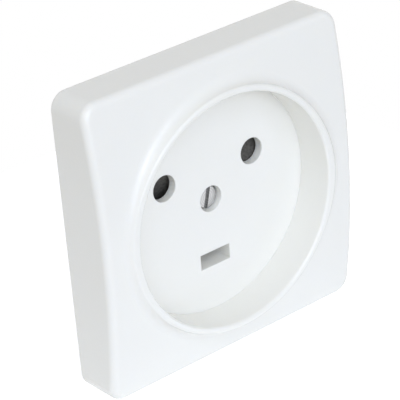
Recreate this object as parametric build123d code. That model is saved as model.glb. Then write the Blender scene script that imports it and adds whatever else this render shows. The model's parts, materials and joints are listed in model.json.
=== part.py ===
"""Flush wall socket, two round pins and a flat earth blade, 82 mm plate.

The socket is drawn lying on its back: X to the right, Y up the wall, Z out of the wall, with the wall
at Z = 0 and the cover screw on the Z axis. Each finished piece is then stood up, so that the front
faces -Y and +Z points up the wall.
"""

import os
from math import atan2, cos, degrees, hypot, radians, sin

from build123d import *

# The plug that the socket takes
PIN_DIA = 6.8
PIN_LENGTH = 22.0
PIN_PITCH = 29.0
PIN_RISE = 8.3
BLADE_WIDTH = 9.0
BLADE_THICK = 3.5
EARTH_DROP = 16.9
PIN_PLAY = 0.4
BLADE_PLAY = 0.75

# Front cover
PLATE_SIDE = 82.0
PLATE_CORNER_R = 4.4
EDGE_DEPTH = 12.3
FACE_CROWN = 3.9
EDGE_ROUND = 2.0
COVER_WALL = 2.2
RECESS_DIA = 62.5
RECESS_DEPTH = 10.8
RIM_WALL = 1.8
RIM_PROUD = 1.4
RIM_ROUND = 0.7
RIM_ROOT_ROUND = 3.0
FLOOR_WALL = 2.5
CHUTE_DEPTH = 7.0
CHUTE_WALL = 1.4
BOSS_WALL = 1.65
BOSS_SEAT = 1.6
COVER_RIB = 1.4

# Cover screw and its bush
SCREW_DIA = 4.0
HEAD_DIA = 6.6
HEAD_HEIGHT = 2.6
HEAD_SINK = 1.5
HEAD_PLAY = 0.5
HEAD_EDGE = 0.4
DRIVE_WIDTH = 1.2
DRIVE_DEPTH = 1.3
DRIVE_LEAN = 14.0
SCREW_LENGTH = 6.5
BUSH_DIA = 6.4
BUSH_LENGTH = 5.0

# Clearances
RUN_GAP = 0.3
SEAT_GAP = 0.2
FIT_GAP = 0.05

# Shutter and its spring
SHUTTER_THICK = 5.0
SHUTTER_LAP = 1.0
RAMP_DROP = 4.2
HUB_WALL = 2.5
TAB_WIDTH = 3.0
SPRING_DIA = 3.2
SPRING_WIRE = 0.4
SPRING_LENGTH = 10.5
SPRING_TURNS = 6
SPRING_STOP = 1.5

# Socket base and contact block
BODY_DIA = 52.0
FLANGE_DIA = 58.0
FLANGE_THICK = 2.5
CAGE_WALL = 1.8
DECK_THICK = 3.7
TIP_ROOM = 1.0
BACK_THICK = 2.0

# Contacts, terminals and their screws
STRIP = 0.9
TUBE_SLIT = 2.4
CLIP_WALL = 0.5
CLIP_LENGTH = 4.0
ARM_WIDTH = 3.0
TERMINAL_Y = -6.3
EARTH_TERMINAL_X = 9.8
TERMINAL_LENGTH = 7.2
TERMINAL_WALL = 1.4
THREAD_WALL = 2.2
WIRE_ROOM = 4.0
WIRE_WIDTH = 4.6
CLAMP_DIA = 3.9
CLAMP_HEAD_DIA = 6.0
CLAMP_HEAD = 2.2
CLAMP_OUT = 0.8
CLAMP_REACH = 2.3
WIRE_ENTRY_DIA = 4.2

# Back plate screws
BACK_SCREW_DIA = 2.6
BACK_SCREW_HEAD_DIA = 5.0
BACK_SCREW_HEAD = 1.6
BACK_SCREW_GRIP = 2.6
BACK_SCREW_PLACES = ((0.0, 20.0), (-11.0, -18.0))

# Mounting strap and its rivets
STRAP_PLAY = 3.3
STRAP_THICK = 1.0
STRAP_CORNER_R = 6.0
BOX_PITCH = 60.0
SLOT_WIDTH = 3.6
SLOT_LENGTH = 7.0
SLOT_ROOM = 5.0
RIVET_DIA = 2.5
RIVET_ORBIT_DIA = 53.2
RIVET_HEAD_DIA = 4.4
RIVET_HEAD = 0.7

# Heights above the wall that follow from the sizes above
CROWN_TOP = EDGE_DEPTH + FACE_CROWN
RIM_TOP = CROWN_TOP + RIM_PROUD
FLOOR_TOP = RIM_TOP - RECESS_DEPTH
FLOOR_BACK = FLOOR_TOP - FLOOR_WALL
CHUTE_END = FLOOR_TOP - CHUTE_DEPTH
HEAD_TOP = FLOOR_TOP - HEAD_SINK
HEAD_SEAT = HEAD_TOP - HEAD_HEIGHT
POST_TOP = HEAD_SEAT - BOSS_SEAT
SHUTTER_TOP = FLOOR_BACK - RUN_GAP
SHUTTER_BACK = SHUTTER_TOP - SHUTTER_THICK
DECK_TOP = SHUTTER_BACK - RUN_GAP
CHAMBER_TOP = DECK_TOP - DECK_THICK
BASE_BACK = FLOOR_TOP - PIN_LENGTH - TIP_ROOM
CONTACT_TOP = CHAMBER_TOP - SEAT_GAP
CONTACT_BACK = BASE_BACK + SEAT_GAP
ARM_BACK = CONTACT_TOP - ARM_WIDTH
TERMINAL_TOP = ARM_BACK - RUN_GAP
TERMINAL_MID = TERMINAL_TOP - TERMINAL_LENGTH / 2

# Radii and places that follow from the sizes above
ENTRY_R = (PIN_DIA + PIN_PLAY) / 2
RECESS_R = RECESS_DIA / 2
RIM_R = RECESS_R + RIM_WALL
HEAD_HOLE_R = (HEAD_DIA + HEAD_PLAY) / 2
BOSS_R = HEAD_HOLE_R + BOSS_WALL
PIN_X = PIN_PITCH / 2
PIN_ORBIT = hypot(PIN_X, PIN_RISE)
PIN_ANGLE = degrees(atan2(PIN_RISE, PIN_X))
SHUTTER_R = PIN_ORBIT + ENTRY_R + SHUTTER_LAP
HUB_BORE_R = BOSS_R + RUN_GAP
HUB_R = HUB_BORE_R + HUB_WALL
SPRING_Y = -(HUB_R + 2 * RUN_GAP + SPRING_DIA / 2)
CAGE_BORE_R = SHUTTER_R + 2 * RUN_GAP
CAGE_R = CAGE_BORE_R + CAGE_WALL
TUBE_BORE_R = PIN_DIA / 2 + FIT_GAP
TUBE_R = TUBE_BORE_R + STRIP
CHAMBER_HALF = TUBE_R + FIT_GAP + CLIP_WALL + SEAT_GAP
LEAF_IN = BLADE_THICK / 2 + FIT_GAP
TERMINAL_HALF = WIRE_WIDTH / 2 + TERMINAL_WALL
TERMINAL_DEPTH = STRIP + FIT_GAP + WIRE_ROOM + THREAD_WALL
EARTH_STRIP_Y = -EARTH_DROP + LEAF_IN + STRIP
RIVET_ORBIT = RIVET_ORBIT_DIA / 2
RIVET_PLACES = [(RIVET_ORBIT * cos(radians(a)), RIVET_ORBIT * sin(radians(a))) for a in (45, 135, 225, 315)]
BOX_SCREW_PLACES = [(BOX_PITCH / 2, 0.0), (-BOX_PITCH / 2, 0.0), (0.0, BOX_PITCH / 2), (0.0, -BOX_PITCH / 2)]
STRAP_SIDE = PLATE_SIDE - 2 * COVER_WALL - 2 * STRAP_PLAY

STANDING = (Align.CENTER, Align.CENTER, Align.MIN)


def rod(radius, bottom, top, x=0.0, y=0.0):
    """Cylinder along Z between two heights."""
    return Pos(x, y, bottom) * Cylinder(radius, top - bottom, align=STANDING)


def bar(x0, x1, y0, y1, bottom, top):
    """Box between two corners."""
    return Pos((x0 + x1) / 2, (y0 + y1) / 2, bottom) * Box(x1 - x0, y1 - y0, top - bottom, align=STANDING)


def cross_rod(radius, near, far):
    """Cylinder along X between two places."""
    return Pos(near, 0, 0) * Rot(0, 90, 0) * Cylinder(radius, far - near, align=STANDING)


def under_crown(side, corner, edge, top):
    """Rounded square block under a face that is crowned from its lower edge to its upper edge."""
    half = side / 2
    foot = Polyline((half, edge), (half, 0), (-half, 0), (-half, edge))
    arch = ThreePointArc((-half, edge), (0, top), (half, edge))
    arched = extrude(Plane.YZ * make_face([foot, arch]), half, both=True)
    return arched & extrude(RectangleRounded(side, side, corner), top)


def front_cover():
    """Moulded plate with its crowned face, raised rim, plug recess, screw boss and earth chute."""
    cover = under_crown(PLATE_SIDE, PLATE_CORNER_R, EDGE_DEPTH, CROWN_TOP)
    front_edges = [e for e in cover.edges() if e.bounding_box().min.Z > EDGE_DEPTH - EDGE_ROUND]
    cover = fillet(front_edges, EDGE_ROUND)

    # the rim is drawn tall for its root rounding, then faced off
    cover += rod(RIM_R, 0, RIM_TOP + 2 * RIM_ROOT_ROUND)
    root = [
        e for e in cover.edges()
        if e.geom_type != GeomType.LINE and abs(hypot((e @ 0).X, (e @ 0).Y) - RIM_R) < 0.01
        and e.bounding_box().max.Z < RIM_TOP
    ]
    cover = fillet(root, RIM_ROOT_ROUND)
    cover -= bar(-RIM_R * 2, RIM_R * 2, -RIM_R * 2, RIM_R * 2, RIM_TOP, RIM_TOP * 2)
    cover -= rod(RECESS_R, FLOOR_TOP, RIM_TOP)
    cover = fillet(cover.edges().filter_by_position(Axis.Z, RIM_TOP - 0.01, RIM_TOP + 0.01), RIM_ROUND)

    inner = PLATE_SIDE - 2 * COVER_WALL
    hollow = under_crown(inner, PLATE_CORNER_R - COVER_WALL, EDGE_DEPTH - COVER_WALL, CROWN_TOP - COVER_WALL)
    cup = rod(RIM_R, FLOOR_BACK, CROWN_TOP)
    ribs = Part() + [Rot(0, 0, a) * bar(RECESS_R, inner, -COVER_RIB / 2, COVER_RIB / 2, FLOOR_TOP, CROWN_TOP)
                     for a in (45, 135, 225, 315)]
    cover -= hollow - cup - ribs

    slot_width, slot_height = BLADE_WIDTH + BLADE_PLAY, BLADE_THICK + BLADE_PLAY
    chute = Rectangle(slot_width + 2 * CHUTE_WALL, slot_height + 2 * CHUTE_WALL)
    cover += Pos(0, -EARTH_DROP, CHUTE_END) * extrude(chute, FLOOR_BACK - CHUTE_END)
    cover -= Pos(0, -EARTH_DROP, CHUTE_END) * extrude(Rectangle(slot_width, slot_height), CHUTE_DEPTH)

    cover += rod(BOSS_R, POST_TOP, FLOOR_BACK)
    cover -= rod(HEAD_HOLE_R, HEAD_SEAT, FLOOR_TOP)
    cover -= rod(SCREW_DIA / 2 + SEAT_GAP, POST_TOP, HEAD_SEAT)
    for x in (-PIN_X, PIN_X):
        cover -= rod(ENTRY_R, FLOOR_BACK, FLOOR_TOP, x, PIN_RISE)
    return cover


def slotted_screw(shank_dia, head_dia, head_height, length, drive_width, drive_depth, head_edge):
    """Slotted screw along Z, with the seat of its head at Z = 0."""
    head = Cylinder(head_dia / 2, head_height, align=STANDING)
    head = chamfer(head.edges().sort_by(Axis.Z)[-1], head_edge)
    head -= bar(-drive_width / 2, drive_width / 2, -head_dia, head_dia,
                head_height - drive_depth, head_height)
    shank = rod(shank_dia / 2, -length, 0)
    shank = chamfer(shank.edges().sort_by(Axis.Z)[0], shank_dia / 8)
    return head + shank


def cover_screw():
    """Screw that holds the cover on the base."""
    screw = slotted_screw(
        SCREW_DIA - FIT_GAP, HEAD_DIA, HEAD_HEIGHT, SCREW_LENGTH, DRIVE_WIDTH, DRIVE_DEPTH, HEAD_EDGE
    )
    return Pos(0, 0, HEAD_SEAT) * Rot(0, 0, -DRIVE_LEAN) * screw


def cover_bush():
    """Brass bush in the base that takes the cover screw."""
    top = POST_TOP - SEAT_GAP
    foot = top - BUSH_LENGTH
    return rod(BUSH_DIA / 2 - FIT_GAP / 2, foot, top) - rod(SCREW_DIA / 2, foot, top)


def shutter():
    """Rotor that closes both pin entries: a hub on the screw post, two ramped arms and a spring tab."""
    half = ENTRY_R + SHUTTER_LAP
    ramp = Polyline(
        (-half, SHUTTER_BACK), (half, SHUTTER_BACK), (half, SHUTTER_TOP - RAMP_DROP), (-half, SHUTTER_TOP),
        close=True
    )
    arm = extrude(Plane.YZ * make_face(ramp), SHUTTER_R)
    arms = Rot(0, 0, PIN_ANGLE) * arm + Rot(0, 0, 180 - PIN_ANGLE) * arm
    arms &= rod(SHUTTER_R, SHUTTER_BACK, SHUTTER_TOP)
    tab = bar(-TAB_WIDTH / 2, TAB_WIDTH / 2, SPRING_Y - SPRING_DIA / 2, 0, SHUTTER_BACK, SHUTTER_TOP)
    rotor = arms + rod(HUB_R, SHUTTER_BACK, SHUTTER_TOP) + tab
    return rotor - rod(HUB_BORE_R, SHUTTER_BACK, SHUTTER_TOP)


def shutter_spring():
    """Compression spring between the rotor's tab and the stop on the base."""
    lead = (SPRING_LENGTH - SPRING_WIRE) / SPRING_TURNS
    coil_r = (SPRING_DIA - SPRING_WIRE) / 2
    coil = Helix(lead, SPRING_LENGTH - SPRING_WIRE, coil_r)
    section = RegularPolygon(SPRING_WIRE / 2, 6)
    wire = sweep(Plane(coil @ 0, z_dir=coil % 0) * section, coil, is_frenet=True)
    start = -TAB_WIDTH / 2 - SEAT_GAP - SPRING_WIRE / 2
    return Pos(start, SPRING_Y, (SHUTTER_TOP + SHUTTER_BACK) / 2) * Rot(0, -90, 0) * wire


def contact_rooms():
    """Everything that the contact block leaves open for contacts, terminals and their screws."""
    rooms = Part()
    slit = STRIP / 2 + SEAT_GAP
    for x in (-PIN_X, PIN_X):
        rooms += bar(x - CHAMBER_HALF, x + CHAMBER_HALF, PIN_RISE - CHAMBER_HALF, PIN_RISE + CHAMBER_HALF,
                     BASE_BACK, CHAMBER_TOP)
        rooms += bar(x - slit, x + slit, TERMINAL_Y - WIRE_WIDTH / 2, PIN_RISE, BASE_BACK, CHAMBER_TOP)
    leaf_room = LEAF_IN + STRIP + SEAT_GAP
    left = BLADE_WIDTH / 2 + FIT_GAP + STRIP + SEAT_GAP
    rooms += bar(-left, BLADE_WIDTH / 2 + SEAT_GAP, -EARTH_DROP - leaf_room, -EARTH_DROP + leaf_room,
                 BASE_BACK, CHAMBER_TOP)
    rooms += bar(0, EARTH_TERMINAL_X + WIRE_WIDTH / 2,
                 EARTH_STRIP_Y - STRIP - SEAT_GAP, EARTH_STRIP_Y + SEAT_GAP, BASE_BACK, CHAMBER_TOP)

    gap = SEAT_GAP
    room = bar(-TERMINAL_WALL - gap, TERMINAL_DEPTH + gap, -TERMINAL_HALF - gap, TERMINAL_HALF + gap,
               BASE_BACK - TERMINAL_MID, TERMINAL_LENGTH / 2 + gap)
    room += cross_rod(CLAMP_HEAD_DIA / 2 + RUN_GAP, TERMINAL_DEPTH, BODY_DIA / 2)
    return rooms + [place * room for place in terminal_places()]


def terminal_places():
    """Where the three box terminals stand: line, neutral and earth, with X pointing to their screws."""
    reach = PIN_X - STRIP / 2
    return [
        Pos(-reach, TERMINAL_Y, TERMINAL_MID) * Rot(0, 0, 180),
        Pos(reach, TERMINAL_Y, TERMINAL_MID),
        Pos(EARTH_TERMINAL_X, EARTH_STRIP_Y, TERMINAL_MID) * Rot(0, 0, -90),
    ]


def plug_ways():
    """Ways through the base's deck for the two pins and the earth blade."""
    blade = Rectangle(BLADE_WIDTH + BLADE_PLAY + 2 * RUN_GAP, BLADE_THICK + BLADE_PLAY + 2 * RUN_GAP)
    ways = Pos(0, -EARTH_DROP, CHAMBER_TOP) * extrude(blade, DECK_THICK)
    for x in (-PIN_X, PIN_X):
        ways += rod(ENTRY_R + RUN_GAP, CHAMBER_TOP, DECK_TOP, x, PIN_RISE)
    return ways


def screw_bore():
    """Bore for the bush in the post, and room for the tip of the cover screw."""
    bore = rod(BUSH_DIA / 2, POST_TOP - 2 * SEAT_GAP - BUSH_LENGTH, POST_TOP)
    return bore + rod(SCREW_DIA / 2 + SEAT_GAP, HEAD_SEAT - SCREW_LENGTH - SEAT_GAP, POST_TOP)


def edge_scallops():
    """Scallops down the edge of base, block and back plate, for the box's screws and the rivets' heads."""
    foot = BASE_BACK - BACK_THICK
    scallops = Part() + [rod(SLOT_ROOM, foot, 0, x, y) for x, y in BOX_SCREW_PLACES]
    return scallops + [
        rod(RIVET_HEAD_DIA / 2 + RUN_GAP, foot, -FLANGE_THICK, x, y) for x, y in RIVET_PLACES
    ]


def socket_base():
    """Moulded base: cage and post for the shutter, flange behind the strap, deck in front of the block."""
    base = rod(BODY_DIA / 2, CHAMBER_TOP, 0) + rod(FLANGE_DIA / 2, -FLANGE_THICK, 0)
    base += rod(CAGE_R, 0, SHUTTER_TOP)
    base -= rod(CAGE_BORE_R, DECK_TOP, SHUTTER_TOP)
    base += rod(BOSS_R, DECK_TOP, POST_TOP)
    rest = TAB_WIDTH / 2 + SEAT_GAP
    stop = -rest - SPRING_LENGTH - SEAT_GAP
    low, high = SPRING_Y - SPRING_DIA / 2, SPRING_Y + SPRING_DIA / 2
    for x in (rest, stop - SPRING_STOP):
        base += bar(x, x + SPRING_STOP, low, high, DECK_TOP, SHUTTER_TOP)
    base -= plug_ways()
    base -= screw_bore()
    base -= edge_scallops()
    for x, y in RIVET_PLACES:
        base -= rod(RIVET_DIA / 2 + FIT_GAP, -FLANGE_THICK, 0, x, y)
    for x, y in BACK_SCREW_PLACES:
        base -= rod(BACK_SCREW_DIA / 2, CHAMBER_TOP, CHAMBER_TOP + BACK_SCREW_GRIP + SEAT_GAP, x, y)
    return base


def contact_block():
    """Moulded block behind the base, with rooms for contacts and terminals right through it."""
    block = rod(BODY_DIA / 2, BASE_BACK, CHAMBER_TOP) - contact_rooms() - screw_bore() - edge_scallops()
    for x, y in BACK_SCREW_PLACES:
        block -= rod(BACK_SCREW_DIA / 2 + SEAT_GAP, BASE_BACK, CHAMBER_TOP, x, y)
    return block


def back_plate():
    """Plate that closes the contact rooms, with three wire entries."""
    plate = rod(BODY_DIA / 2, BASE_BACK - BACK_THICK, BASE_BACK) - edge_scallops()
    entry = rod(WIRE_ENTRY_DIA / 2, -BACK_THICK, 0, STRIP + FIT_GAP + WIRE_ROOM / 2, 0)
    entry += Pos(STRIP + FIT_GAP + WIRE_ROOM / 2, 0, -BACK_THICK) * Cone(
        WIRE_ENTRY_DIA / 2 + BACK_THICK / 2, WIRE_ENTRY_DIA / 2, BACK_THICK / 2, align=STANDING
    )
    for place in terminal_places():
        plate -= Pos(0, 0, BASE_BACK - TERMINAL_MID) * place * entry
    for x, y in BACK_SCREW_PLACES:
        plate -= rod(BACK_SCREW_DIA / 2 + SEAT_GAP, BASE_BACK - BACK_THICK, BASE_BACK, x, y)
    return plate


def back_plate_screws():
    """Two long screws that clamp back plate and contact block to the base."""
    length = BACK_THICK + CHAMBER_TOP - BASE_BACK + BACK_SCREW_GRIP
    screw = slotted_screw(
        BACK_SCREW_DIA - FIT_GAP, BACK_SCREW_HEAD_DIA, BACK_SCREW_HEAD, length,
        DRIVE_WIDTH / 2, BACK_SCREW_HEAD / 2, BACK_SCREW_HEAD / 4
    )
    return Part() + [
        Pos(x, y, BASE_BACK - BACK_THICK) * Rot(180, 0, 0) * screw for x, y in BACK_SCREW_PLACES
    ]


def pin_contact(side):
    """Slit brass tube that grips a pin, with a flat arm down to its terminal."""
    x = side * PIN_X
    tube = rod(TUBE_R, CONTACT_BACK, CONTACT_TOP, x, PIN_RISE)
    foot = PIN_RISE - TUBE_R + STRIP / 2
    leg_half = WIRE_WIDTH / 2 - SEAT_GAP
    arm = bar(x - STRIP / 2, x + STRIP / 2, TERMINAL_Y - leg_half, foot, ARM_BACK, CONTACT_TOP)
    leg = bar(x - STRIP / 2, x + STRIP / 2, TERMINAL_Y - leg_half, TERMINAL_Y + leg_half,
              TERMINAL_TOP - TERMINAL_LENGTH, ARM_BACK)
    contact = tube + arm + leg - rod(TUBE_BORE_R, CONTACT_BACK, CONTACT_TOP, x, PIN_RISE)
    return contact - bar(x - TUBE_SLIT / 2, x + TUBE_SLIT / 2, PIN_RISE, PIN_RISE + TUBE_R,
                         CONTACT_BACK, CONTACT_TOP)


def contact_clip(side):
    """Spring steel clip round a pin contact."""
    x = side * PIN_X
    bore = TUBE_R + FIT_GAP
    skin = bore + CLIP_WALL
    top = TERMINAL_TOP
    foot = top - CLIP_LENGTH
    clip = rod(skin, foot, top, x, PIN_RISE) - rod(bore, foot, top, x, PIN_RISE)
    return clip - bar(x - TUBE_SLIT, x + TUBE_SLIT, PIN_RISE, PIN_RISE + skin, foot, top)


def earth_contact():
    """Folded brass strip: two leaves that grip the blade, and a flat arm across to the earth terminal."""
    left = -BLADE_WIDTH / 2 - FIT_GAP - STRIP / 2
    leaf = LEAF_IN + STRIP / 2
    fold = FilletPolyline(
        (BLADE_WIDTH / 2, -EARTH_DROP - leaf), (left, -EARTH_DROP - leaf), (left, -EARTH_DROP + leaf),
        (BLADE_WIDTH / 2, -EARTH_DROP + leaf), radius=STRIP
    )
    contact = Pos(0, 0, CONTACT_BACK) * extrude(trace(fold, STRIP), CONTACT_TOP - CONTACT_BACK)
    low, high = EARTH_STRIP_Y - STRIP, EARTH_STRIP_Y
    leg_half = WIRE_WIDTH / 2 - SEAT_GAP
    contact += bar(0, EARTH_TERMINAL_X + leg_half, low, high, ARM_BACK, CONTACT_TOP)
    contact += bar(EARTH_TERMINAL_X - leg_half, EARTH_TERMINAL_X + leg_half, low, high,
                   TERMINAL_TOP - TERMINAL_LENGTH, ARM_BACK)
    return contact


def box_terminal():
    """Brass box terminal: window along Z for strip and wire, threaded wall on the X side."""
    half = TERMINAL_LENGTH / 2
    box = bar(-TERMINAL_WALL, TERMINAL_DEPTH, -TERMINAL_HALF, TERMINAL_HALF, -half, half)
    box -= bar(0, TERMINAL_DEPTH - THREAD_WALL, -WIRE_WIDTH / 2, WIRE_WIDTH / 2, -half, half)
    box = chamfer(box.edges().filter_by(Axis.Z).group_by(Axis.X)[-1], STRIP / 2)
    return box - cross_rod(CLAMP_DIA / 2, TERMINAL_DEPTH - THREAD_WALL, TERMINAL_DEPTH)


def clamp_screw():
    """Terminal screw along X, part of the way in."""
    seat = TERMINAL_DEPTH + CLAMP_OUT
    length = seat - CLAMP_REACH - STRIP
    screw = slotted_screw(
        CLAMP_DIA - FIT_GAP, CLAMP_HEAD_DIA, CLAMP_HEAD, length, DRIVE_WIDTH, CLAMP_HEAD / 2, CLAMP_HEAD / 6
    )
    return Pos(seat, 0, 0) * Rot(0, 90, 0) * screw


def mounting_strap():
    """Steel strap on the wall, with a round window for the base and slots for the wall box's screws."""
    sheet = RectangleRounded(STRAP_SIDE, STRAP_SIDE, STRAP_CORNER_R) - Circle(CAGE_R + RUN_GAP)
    for x, y in BOX_SCREW_PLACES:
        sheet -= Pos(x, y) * Rot(0, 0, degrees(atan2(y, x))) * SlotOverall(SLOT_LENGTH, SLOT_WIDTH)
    for x, y in RIVET_PLACES:
        sheet -= Pos(x, y) * Circle(RIVET_DIA / 2 + FIT_GAP)
    return extrude(sheet, STRAP_THICK)


def strap_rivets():
    """Four rivets that hold the base's flange to the strap."""
    rivet = rod(RIVET_DIA / 2, -FLANGE_THICK, STRAP_THICK)
    rivet += rod(RIVET_HEAD_DIA / 2, STRAP_THICK, STRAP_THICK + RIVET_HEAD)
    rivet += rod(RIVET_HEAD_DIA / 2, -FLANGE_THICK - RIVET_HEAD, -FLANGE_THICK)
    return Part() + [Pos(x, y, 0) * rivet for x, y in RIVET_PLACES]


def pieces():
    """Every piece by its name."""
    line, neutral, earth = terminal_places()
    box, clamp = box_terminal(), clamp_screw()
    return {
        "front_cover": front_cover(),
        "cover_screw": cover_screw(),
        "cover_bush": cover_bush(),
        "shutter": shutter(),
        "shutter_spring": shutter_spring(),
        "socket_base": socket_base(),
        "contact_block": contact_block(),
        "back_plate": back_plate(),
        "back_plate_screws": back_plate_screws(),
        "line_contact": pin_contact(-1),
        "neutral_contact": pin_contact(1),
        "earth_contact": earth_contact(),
        "line_contact_clip": contact_clip(-1),
        "neutral_contact_clip": contact_clip(1),
        "line_terminal": line * box,
        "neutral_terminal": neutral * box,
        "earth_terminal": earth * box,
        "line_terminal_screw": line * clamp,
        "neutral_terminal_screw": neutral * clamp,
        "earth_terminal_screw": earth * clamp,
        "mounting_strap": mounting_strap(),
        "strap_rivets": strap_rivets(),
    }


os.makedirs("parts", exist_ok=True)
for name, piece in pieces().items():
    export_step(Plane.XZ * piece, f"parts/{name}.step")
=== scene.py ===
"""Flush wall socket on a white ground: finishes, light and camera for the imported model."""

import json
from math import cos, pi, radians, sin

import bpy
import numpy as np
from mathutils import Matrix, Vector


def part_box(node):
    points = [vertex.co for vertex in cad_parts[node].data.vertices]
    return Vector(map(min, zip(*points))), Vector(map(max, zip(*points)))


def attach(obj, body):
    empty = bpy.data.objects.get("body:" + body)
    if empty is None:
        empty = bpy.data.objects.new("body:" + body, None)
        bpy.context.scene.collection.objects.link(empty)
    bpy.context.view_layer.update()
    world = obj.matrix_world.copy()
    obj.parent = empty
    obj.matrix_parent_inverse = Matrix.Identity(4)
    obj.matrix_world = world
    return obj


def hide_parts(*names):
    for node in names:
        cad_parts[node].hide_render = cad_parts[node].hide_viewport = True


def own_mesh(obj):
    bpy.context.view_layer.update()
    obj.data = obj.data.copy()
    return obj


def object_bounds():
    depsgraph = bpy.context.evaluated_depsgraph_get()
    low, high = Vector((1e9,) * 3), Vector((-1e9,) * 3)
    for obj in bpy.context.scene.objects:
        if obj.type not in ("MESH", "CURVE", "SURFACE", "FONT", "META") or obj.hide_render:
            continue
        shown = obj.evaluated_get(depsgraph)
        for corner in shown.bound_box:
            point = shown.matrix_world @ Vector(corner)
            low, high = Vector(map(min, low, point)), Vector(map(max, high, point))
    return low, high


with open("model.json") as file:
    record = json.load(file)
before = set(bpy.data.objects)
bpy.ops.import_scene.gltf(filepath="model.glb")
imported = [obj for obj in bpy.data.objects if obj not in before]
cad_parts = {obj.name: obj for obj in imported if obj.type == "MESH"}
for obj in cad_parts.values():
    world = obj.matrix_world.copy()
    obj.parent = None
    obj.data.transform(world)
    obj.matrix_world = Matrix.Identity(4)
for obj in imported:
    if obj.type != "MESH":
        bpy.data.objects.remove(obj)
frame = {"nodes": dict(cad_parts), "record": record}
cad_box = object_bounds()
scene = bpy.context.scene

# Metres in a millimetre, and plain white in linear light
MM = 0.001
WHITE = (1.0, 1.0, 1.0, 1.0)

# Camera: where it stands, what it looks at, its roll, its lens, and the nearest and farthest that it sees
CAMERA_PLACE_MM = (-298.64, -383.24, 240.29)
CAMERA_AIM_MM = (-7.61, -12.0, 4.29)
CAMERA_ROLL_DEG = 4.76
LENS_MM = 189.52
SENSOR_MM = 36.0
NEAREST_MM = 10.0
FARTHEST_MM = 20000.0

# Light: even white surroundings, a large cool window in front and up on the left, a small catch light in its
# middle that gives crisp highlights, and a weak lamp level with the plate for its upper and left edges
SURROUND = 0.47
WINDOW_PLACE_MM = (-372.0, -1001.0, 547.0)
WINDOW_SIZE_MM = 1200.0
WINDOW_WATTS = 8.5
WINDOW_HEX = "#E2EBFF"
CATCH_SIZE_MM = 200.0
CATCH_WATTS = 1.4
EDGE_LAMP_PLACE_MM = (-848.0, -42.0, 848.0)
EDGE_LAMP_SIZE_MM = 800.0
EDGE_LAMP_WATTS = 1.0
EDGE_LAMP_HEX = "#FFFFFF"

# Floor: half its side, its paint, and how far its white is lifted for the eye, so that only the deepest
# shadow shows
FLOOR_HALF_MM = 120.0
FLOOR_HEX = "#F4F4F4"
FLOOR_ROUGHNESS = 0.8
FLOOR_LIFT = 0.62

# Patterns: rays that feel out a softened edge, the way from crest to crest of Blender's ring wave at
# scale 1, and how far the lathe's rings waver
EDGE_RAYS = 8
RING_STEP = 2 * pi / 20
RING_WAVER = 0.4

# Shutter's spring: its wire and turns, and the points of its mesh along one turn and round the wire
SPRING_WIRE_MM = 0.4
SPRING_TURNS = 6
STEPS_PER_TURN = 32
WIRE_SIDES = 12


def linear(hex_colour):
    """sRGB hex to linear RGBA: each channel c is c/12.92 below 0.04045, else ((c + 0.055)/1.055)^2.4."""
    channels = [int(hex_colour[i:i + 2], 16) / 255 for i in (1, 3, 5)]
    return (*[c / 12.92 if c <= 0.04045 else ((c + 0.055) / 1.055) ** 2.4 for c in channels], 1.0)


def add(tree, kind, links=None, **settings):
    """Adds a node: links maps inputs to output sockets or plain values, settings are its own properties."""
    made = tree.nodes.new(kind)
    for name, value in settings.items():
        setattr(made, name, value)
    for name, source in (links or {}).items():
        if isinstance(source, bpy.types.NodeSocket):
            tree.links.new(source, made.inputs[name])
        else:
            made.inputs[name].default_value = source
    return made


def new_finish(name, **sockets):
    """A new material with one Principled surface, whose plain values are set on the shader by socket name.
    Returns the material, its node tree and the shader."""
    material = bpy.data.materials.new(name)
    material.use_nodes = True
    tree = material.node_tree
    tree.nodes.clear()
    shader = add(tree, "ShaderNodeBsdfPrincipled", {k.replace("_", " "): v for k, v in sockets.items()})
    add(tree, "ShaderNodeOutputMaterial", {"Surface": shader.outputs["BSDF"]})
    return material, tree, shader


def skin(finish, mottle, dark_hex, light_hex, smooth, rough, height_mm, edge_mm):
    """Lets one pattern drive a finish: its colour from dark to light, its roughness from smooth to rough,
    and a relief of some height, over edges softened to a radius."""
    material, tree, shader = finish
    tint = add(tree, "ShaderNodeMix", {
        "Factor": mottle, "A": linear(dark_hex), "B": linear(light_hex)}, data_type="RGBA")
    gloss = add(tree, "ShaderNodeMapRange", {"Value": mottle, "To Min": smooth, "To Max": rough})
    edge = add(tree, "ShaderNodeBevel", {"Radius": edge_mm * MM}, samples=EDGE_RAYS)
    relief = add(tree, "ShaderNodeBump", {
        "Height": mottle, "Strength": 1.0, "Distance": height_mm * MM, "Normal": edge.outputs["Normal"]})
    tree.links.new(tint.outputs["Result"], shader.inputs["Base Color"])
    tree.links.new(gloss.outputs["Result"], shader.inputs["Roughness"])
    tree.links.new(relief.outputs["Normal"], shader.inputs["Normal"])
    return material


def grain(finish, size_mm, stretch=(1.0, 1.0, 1.0), detail=2.0):
    """Noise whose lumps have a size in millimetres, drawn out along an axis where its stretch is above 1."""
    tree = finish[1]
    place = add(tree, "ShaderNodeTexCoord").outputs["Object"]
    squeeze = tuple(1 / (size_mm * MM * s) for s in stretch)
    lumps = add(tree, "ShaderNodeMapping", {"Vector": place, "Scale": squeeze}).outputs["Vector"]
    return add(tree, "ShaderNodeTexNoise", {"Vector": lumps, "Scale": 1.0, "Detail": detail}).outputs["Fac"]


def turning_rings(finish, pitch_mm):
    """Rings about the socket's middle axis, as a lathe tool leaves them, one every pitch."""
    tree = finish[1]
    place = add(tree, "ShaderNodeTexCoord").outputs["Object"]
    rings = add(tree, "ShaderNodeTexWave", {
        "Vector": place, "Scale": RING_STEP / (pitch_mm * MM), "Distortion": RING_WAVER, "Detail": 1.0},
        wave_type="RINGS", rings_direction="Y")
    return rings.outputs["Fac"]


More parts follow.
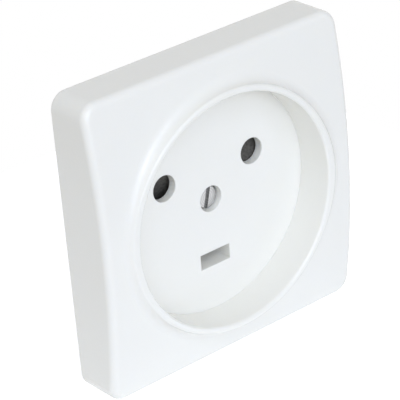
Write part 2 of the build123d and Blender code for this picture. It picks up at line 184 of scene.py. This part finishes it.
def spangle(finish, size_mm):
    """Crystal fields of a size in millimetres, each of one shade, as on hot-dip galvanised sheet."""
    tree = finish[1]
    place = add(tree, "ShaderNodeTexCoord").outputs["Object"]
    cells = add(tree, "ShaderNodeTexVoronoi", {"Vector": place, "Scale": 1 / (size_mm * MM)})
    split = add(tree, "ShaderNodeSeparateColor", {"Color": cells.outputs["Color"]})
    return split.outputs["Red"]


def white_abs():
    """ABS from a polished mould: near white, with a soft gloss and a trace of orange peel, and light goes a
    little way in."""
    finish = new_finish(
        "white_abs_moulded", IOR=1.53, Subsurface_Weight=0.4, Subsurface_Scale=1.0 * MM,
        Subsurface_Radius=(1.0, 0.95, 0.85))
    peel = grain(finish, size_mm=0.6)
    return skin(finish, peel, "#F4F3EC", "#F6F5EE", smooth=0.20, rough=0.26, height_mm=0.0004, edge_mm=0.3)


def grey_polyamide():
    """Glass-filled polyamide from a spark-eroded mould: dark grey and dull. Its grit of 0.1 mm is too fine
    to show, so it is drawn at 0.7 mm."""
    finish = new_finish("grey_polyamide_moulded", IOR=1.53, Specular_IOR_Level=0.1)
    grit = grain(finish, size_mm=0.7)
    return skin(finish, grit, "#3C3A37", "#76736C", smooth=0.6, rough=0.75, height_mm=0.01, edge_mm=0.3)


def white_melamine():
    """Pressed melamine: white and half matt, with the faint clouds of its cellulose filler."""
    finish = new_finish("white_melamine_pressed", IOR=1.6)
    clouds = grain(finish, size_mm=2.4, detail=4.0)
    return skin(finish, clouds, "#E6E5E1", "#EFEEEA", smooth=0.42, rough=0.55, height_mm=0.004, edge_mm=0.3)


def turned_steel():
    """Turned and zinc-plated steel: bright, with the lathe's rings. They lie 0.1 mm apart, which is too fine
    to show, so they are drawn at 0.6 mm."""
    finish = new_finish("zinc_plated_steel_turned", Metallic=1.0)
    rings = turning_rings(finish, pitch_mm=0.6)
    return skin(finish, rings, "#B0B0B0", "#C8C8C7", smooth=0.28, rough=0.38, height_mm=0.004, edge_mm=0.1)


def drawn_steel():
    """Drawn spring steel: blue-grey, with a tight sheen. The marks of the die are too fine to show, so they
    are drawn as specks of 0.3 mm."""
    finish = new_finish("spring_steel_drawn", Metallic=1.0)
    specks = grain(finish, size_mm=0.3)
    return skin(finish, specks, "#9EA2A6", "#B4B7BA", smooth=0.28, rough=0.38, height_mm=0.002, edge_mm=0.05)


def galvanised_sheet():
    """Hot-dip galvanised steel sheet: dull silver in crystal fields, each with its own shade."""
    finish = new_finish("galvanised_steel_sheet", Metallic=1.0)
    fields = spangle(finish, size_mm=5.0)
    return skin(finish, fields, "#AEB3B7", "#C2C7CA", smooth=0.34, rough=0.48, height_mm=0.001, edge_mm=0.15)


def headed_steel():
    """Headed and zinc-plated steel: soft silver, slightly dimpled by the heading tool."""
    finish = new_finish("zinc_plated_steel_headed", Metallic=1.0)
    dimples = grain(finish, size_mm=0.5)
    return skin(finish, dimples, "#B2B4B6", "#C6C7C8", smooth=0.30, rough=0.45, height_mm=0.004, edge_mm=0.3)


def rolled_brass():
    """Rolled brass: warm yellow, with rolling streaks up the strip, twelve times as long as wide."""
    finish = new_finish("brass_rolled", Metallic=1.0)
    streaks = grain(finish, size_mm=0.4, stretch=(1.0, 1.0, 12.0))
    return skin(finish, streaks, "#C6A659", "#D9BC72", smooth=0.28, rough=0.40, height_mm=0.002, edge_mm=0.1)


def finishes():
    """The socket's finishes by the record's material slots."""
    return {
        "cover_plastic": white_abs(),
        "shutter_plastic": grey_polyamide(),
        "base_plastic": white_melamine(),
        "screw_steel": turned_steel(),
        "spring_steel": drawn_steel(),
        "strap_steel": galvanised_sheet(),
        "rivet_steel": headed_steel(),
        "brass": rolled_brass(),
    }


def coiled_spring(finish):
    """Wire carried round a coil along X. The path's angle grows evenly; its way along X grows by one wire
    thickness in the first and the last turn, so that the ends lie flat, and evenly between them. The wire's
    circle stands on the path's outward direction and on the cross product of the path's run with it."""
    low, high = (np.array(corner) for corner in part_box("shutter_spring"))
    middle = (low + high) / 2
    wire_r = SPRING_WIRE_MM * MM / 2
    coil_r = (high[2] - low[2]) / 2 - wire_r
    turn = np.linspace(0, SPRING_TURNS, STEPS_PER_TURN * SPRING_TURNS + 1)
    angle = 2 * pi * turn
    outward = np.stack([np.zeros_like(angle), np.cos(angle), np.sin(angle)], axis=1)
    path = middle + coil_r * outward
    path[:, 0] = np.interp(
        turn, [0, 1, SPRING_TURNS - 1, SPRING_TURNS],
        [low[0] + wire_r, low[0] + 3 * wire_r, high[0] - 3 * wire_r, high[0] - wire_r])
    run = np.gradient(path, axis=0)
    run /= np.linalg.norm(run, axis=1, keepdims=True)
    across = np.cross(run, outward)
    round_wire = np.linspace(0, 2 * pi, WIRE_SIDES, endpoint=False)[:, None]
    circle = np.cos(round_wire) * outward[:, None] + np.sin(round_wire) * across[:, None]
    rings = path[:, None] + wire_r * circle
    corner = np.arange(len(path) * WIRE_SIDES).reshape(-1, WIRE_SIDES)
    beside = np.roll(corner, -1, axis=1)
    walls = np.stack([corner[:-1], beside[:-1], beside[1:], corner[1:]], axis=-1).reshape(-1, 4)
    ends = [corner[0, ::-1].tolist(), corner[-1].tolist()]
    wire = bpy.data.meshes.new("coiled_spring")
    wire.from_pydata(rings.reshape(-1, 3).tolist(), [], walls.tolist() + ends)
    wire.shade_smooth()
    wire.materials.append(finish)
    spring = bpy.data.objects.new("coiled_spring", wire)
    scene.collection.objects.link(spring)
    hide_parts("shutter_spring")
    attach(spring, "socket")
    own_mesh(spring)


def dress():
    """Gives every node its finish by the record's material slot, and puts the coiled spring in its place."""
    ready = finishes()
    coiled_spring(ready["spring_steel"])
    for entry in frame["record"]["subparts"]:
        node = frame["nodes"][entry["node"]]
        node.data.materials.clear()
        node.data.materials.append(ready[entry["material_slot"]])


def set_camera():
    """Camera that looks from its place to its aim, its upright turned by the roll about that line."""
    place, aim = Vector(CAMERA_PLACE_MM) * MM, Vector(CAMERA_AIM_MM) * MM
    forward = (aim - place).normalized()
    level = forward.cross(Vector((0, 0, 1))).normalized()
    upright = level.cross(forward)
    roll = radians(CAMERA_ROLL_DEG)
    up = upright * cos(roll) + level * sin(roll)
    right = forward.cross(up)
    lens = bpy.data.cameras.new("camera")
    lens.lens, lens.sensor_width, lens.sensor_fit = LENS_MM, SENSOR_MM, "HORIZONTAL"
    lens.clip_start, lens.clip_end = NEAREST_MM * MM, FARTHEST_MM * MM
    camera = bpy.data.objects.new("camera", lens)
    camera.matrix_world = Matrix.Translation(place) @ Matrix((right, up, -forward)).transposed().to_4x4()
    scene.collection.objects.link(camera)
    scene.camera = camera


def seen_directly(tree):
    """1 for rays from the camera, a mirror or glass, which see the white ground, and 0 for lighting rays."""
    path = add(tree, "ShaderNodeLightPath").outputs
    eye = path["Is Camera Ray"]
    for ray in ("Is Glossy Ray", "Is Transmission Ray"):
        eye = add(tree, "ShaderNodeMath", {0: eye, 1: path[ray]}, operation="MAXIMUM").outputs[0]
    return eye


def set_surroundings():
    """World that is plain white to look at, with strength 1, and lights the object evenly from all round."""
    world = bpy.data.worlds.new("white_studio")
    scene.world = world
    world.use_nodes = True
    tree = world.node_tree
    tree.nodes.clear()
    level = add(tree, "ShaderNodeMapRange", {
        "Value": seen_directly(tree), "To Min": SURROUND, "To Max": 1.0})
    ground = add(tree, "ShaderNodeBackground", {"Color": WHITE, "Strength": level.outputs["Result"]})
    add(tree, "ShaderNodeOutputWorld", {"Surface": ground.outputs[0]})


def set_lamp(name, place_mm, size_mm, watts, hex_colour):
    """Square soft lamp that faces the socket."""
    light = bpy.data.lights.new(name, "AREA")
    light.shape, light.size, light.energy = "SQUARE", size_mm * MM, watts
    light.color = linear(hex_colour)[:3]
    lamp = bpy.data.objects.new(name, light)
    place = Vector(place_mm) * MM
    lamp.matrix_world = Matrix.Translation(place) @ (-place).to_track_quat("-Z", "Y").to_matrix().to_4x4()
    scene.collection.objects.link(lamp)


def set_floor():
    """White floor that the socket stands on, its shadow kept and its white lifted for the eye."""
    edge, drop = FLOOR_HALF_MM * MM, cad_box[0][2]
    corners = [(x, y, drop) for x, y in ((-edge, -edge), (edge, -edge), (edge, edge), (-edge, edge))]
    sheet = bpy.data.meshes.new("floor")
    sheet.from_pydata(corners, [], [(0, 1, 2, 3)])
    floor = bpy.data.objects.new("floor", sheet)
    scene.collection.objects.link(floor)
    paint, tree, shader = new_finish(
        "white_floor_paint", Base_Color=linear(FLOOR_HEX), Roughness=FLOOR_ROUGHNESS, Emission_Color=WHITE)
    lift = add(tree, "ShaderNodeMath", {0: seen_directly(tree), 1: FLOOR_LIFT}, operation="MULTIPLY")
    tree.links.new(lift.outputs[0], shader.inputs["Emission Strength"])
    sheet.materials.append(paint)


dress()
set_camera()
set_surroundings()
set_lamp("window", WINDOW_PLACE_MM, WINDOW_SIZE_MM, WINDOW_WATTS, WINDOW_HEX)
set_lamp("catch_light", WINDOW_PLACE_MM, CATCH_SIZE_MM, CATCH_WATTS, WINDOW_HEX)
set_lamp("edge_lamp", EDGE_LAMP_PLACE_MM, EDGE_LAMP_SIZE_MM, EDGE_LAMP_WATTS, EDGE_LAMP_HEX)
set_floor()
scene.view_settings.view_transform = "Standard"
